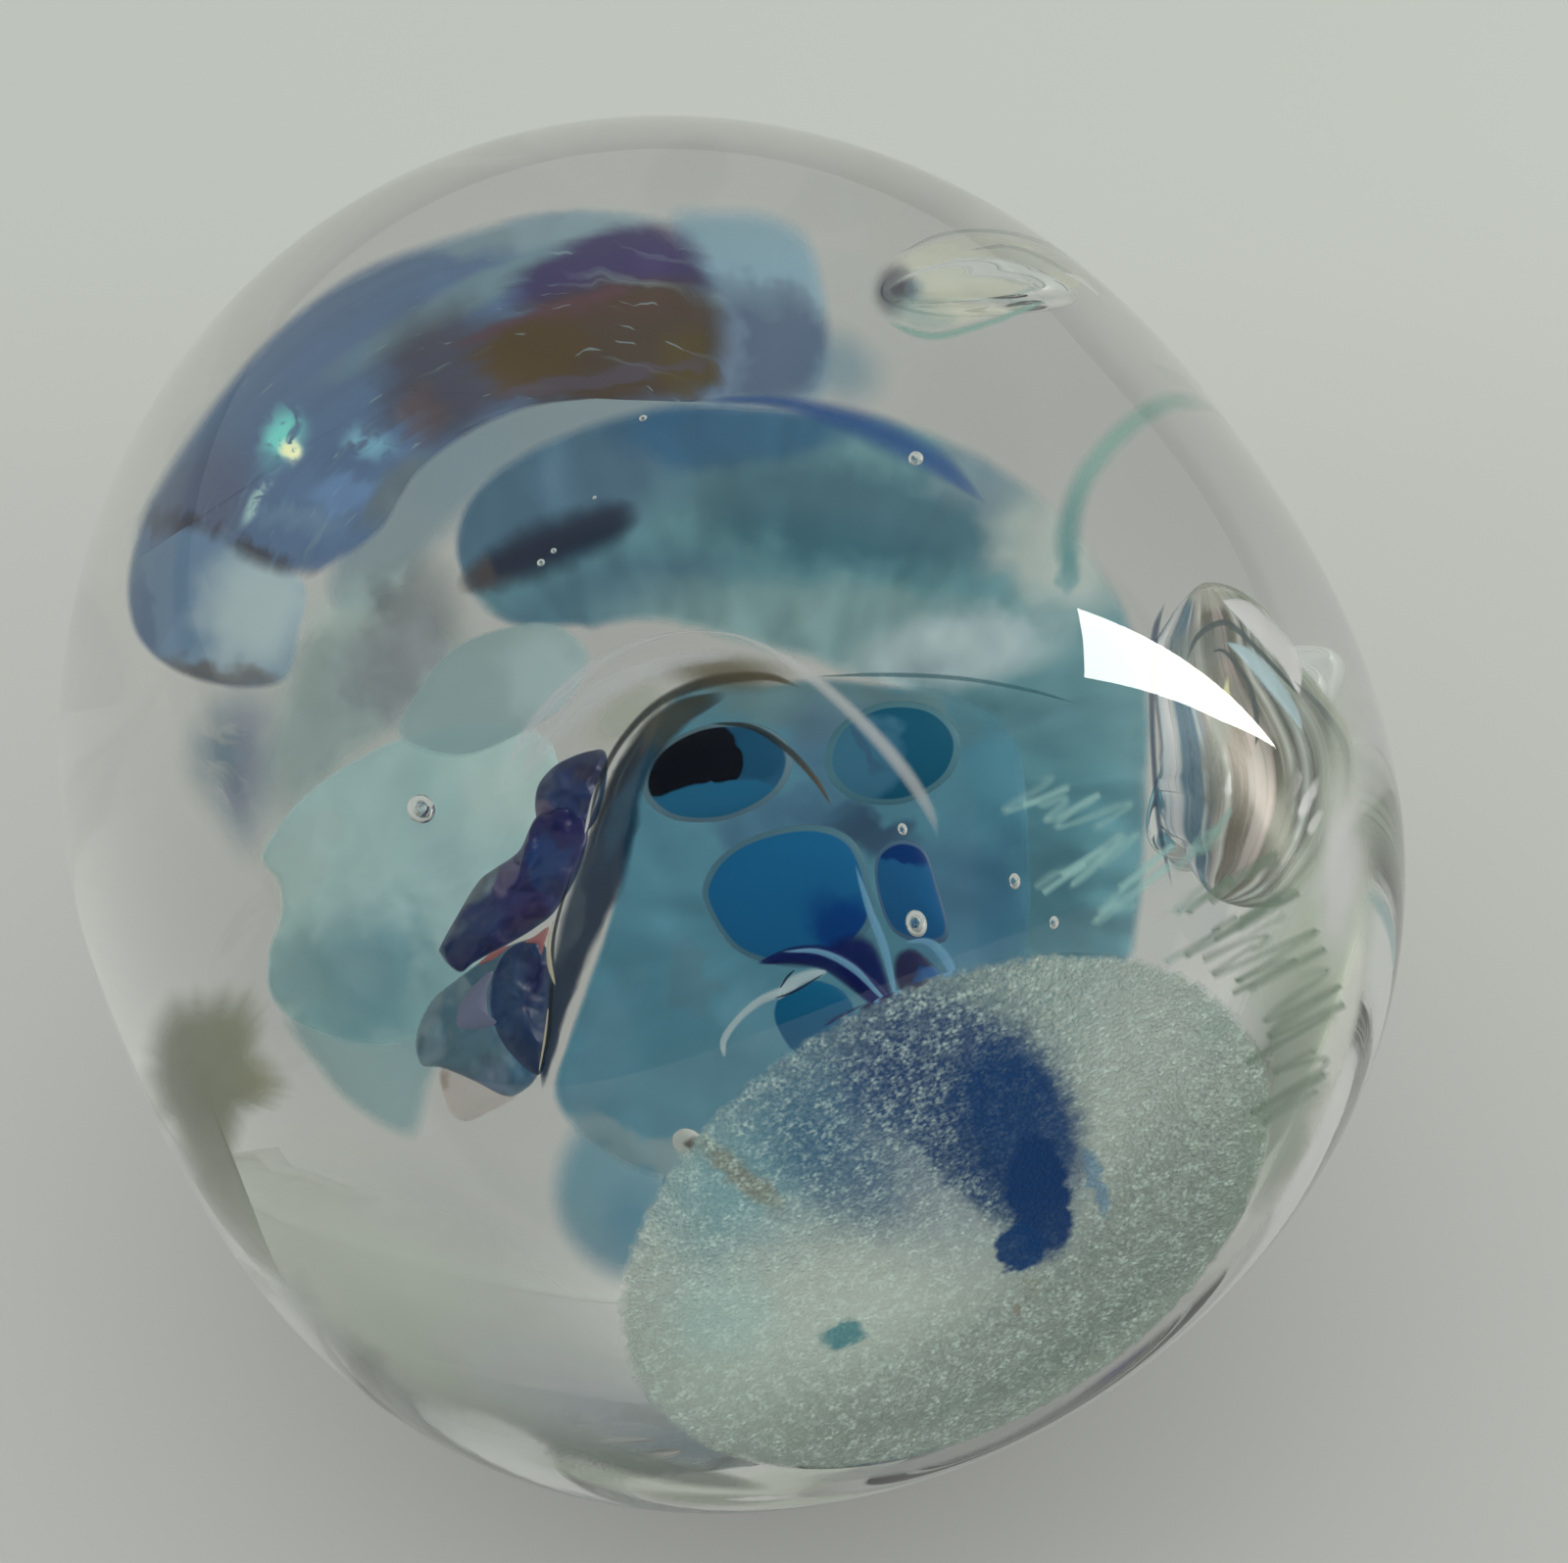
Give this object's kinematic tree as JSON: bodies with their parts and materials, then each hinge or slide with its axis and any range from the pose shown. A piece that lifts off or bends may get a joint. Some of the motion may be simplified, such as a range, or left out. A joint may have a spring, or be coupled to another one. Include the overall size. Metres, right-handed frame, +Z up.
{
  "type": "glass paperweight",
  "caption": "Solid rounded glass paperweight with a flat ground base, lying on its side, with coloured veils and bubbles sealed in clear glass.",
  "frame": {"origin": "on the surface the paperweight lies on, under the middle of its bounding box", "axes": "+Z up; the turned body's own axis lies along Y, with the ground base facing -Y and the crown +Y; +X to the right when looking at the ground base"},
  "size_m": [0.076, 0.0826, 0.0755],
  "materials": {
    "clear_glass": "polished, fire-smooth, faintly green",
    "ground_glass": "ground matt and frosted",
    "pale_turquoise_glass": "milky, translucent",
    "deep_blue_glass": "dense, smooth",
    "iridescent_foil": "crumpled, purple, blue and amber sheen",
    "bubble": "trapped air, silvery"
  },
  "bodies": {
    "root": {"glass_body": "clear_glass"}
  },
  "joints": []
}
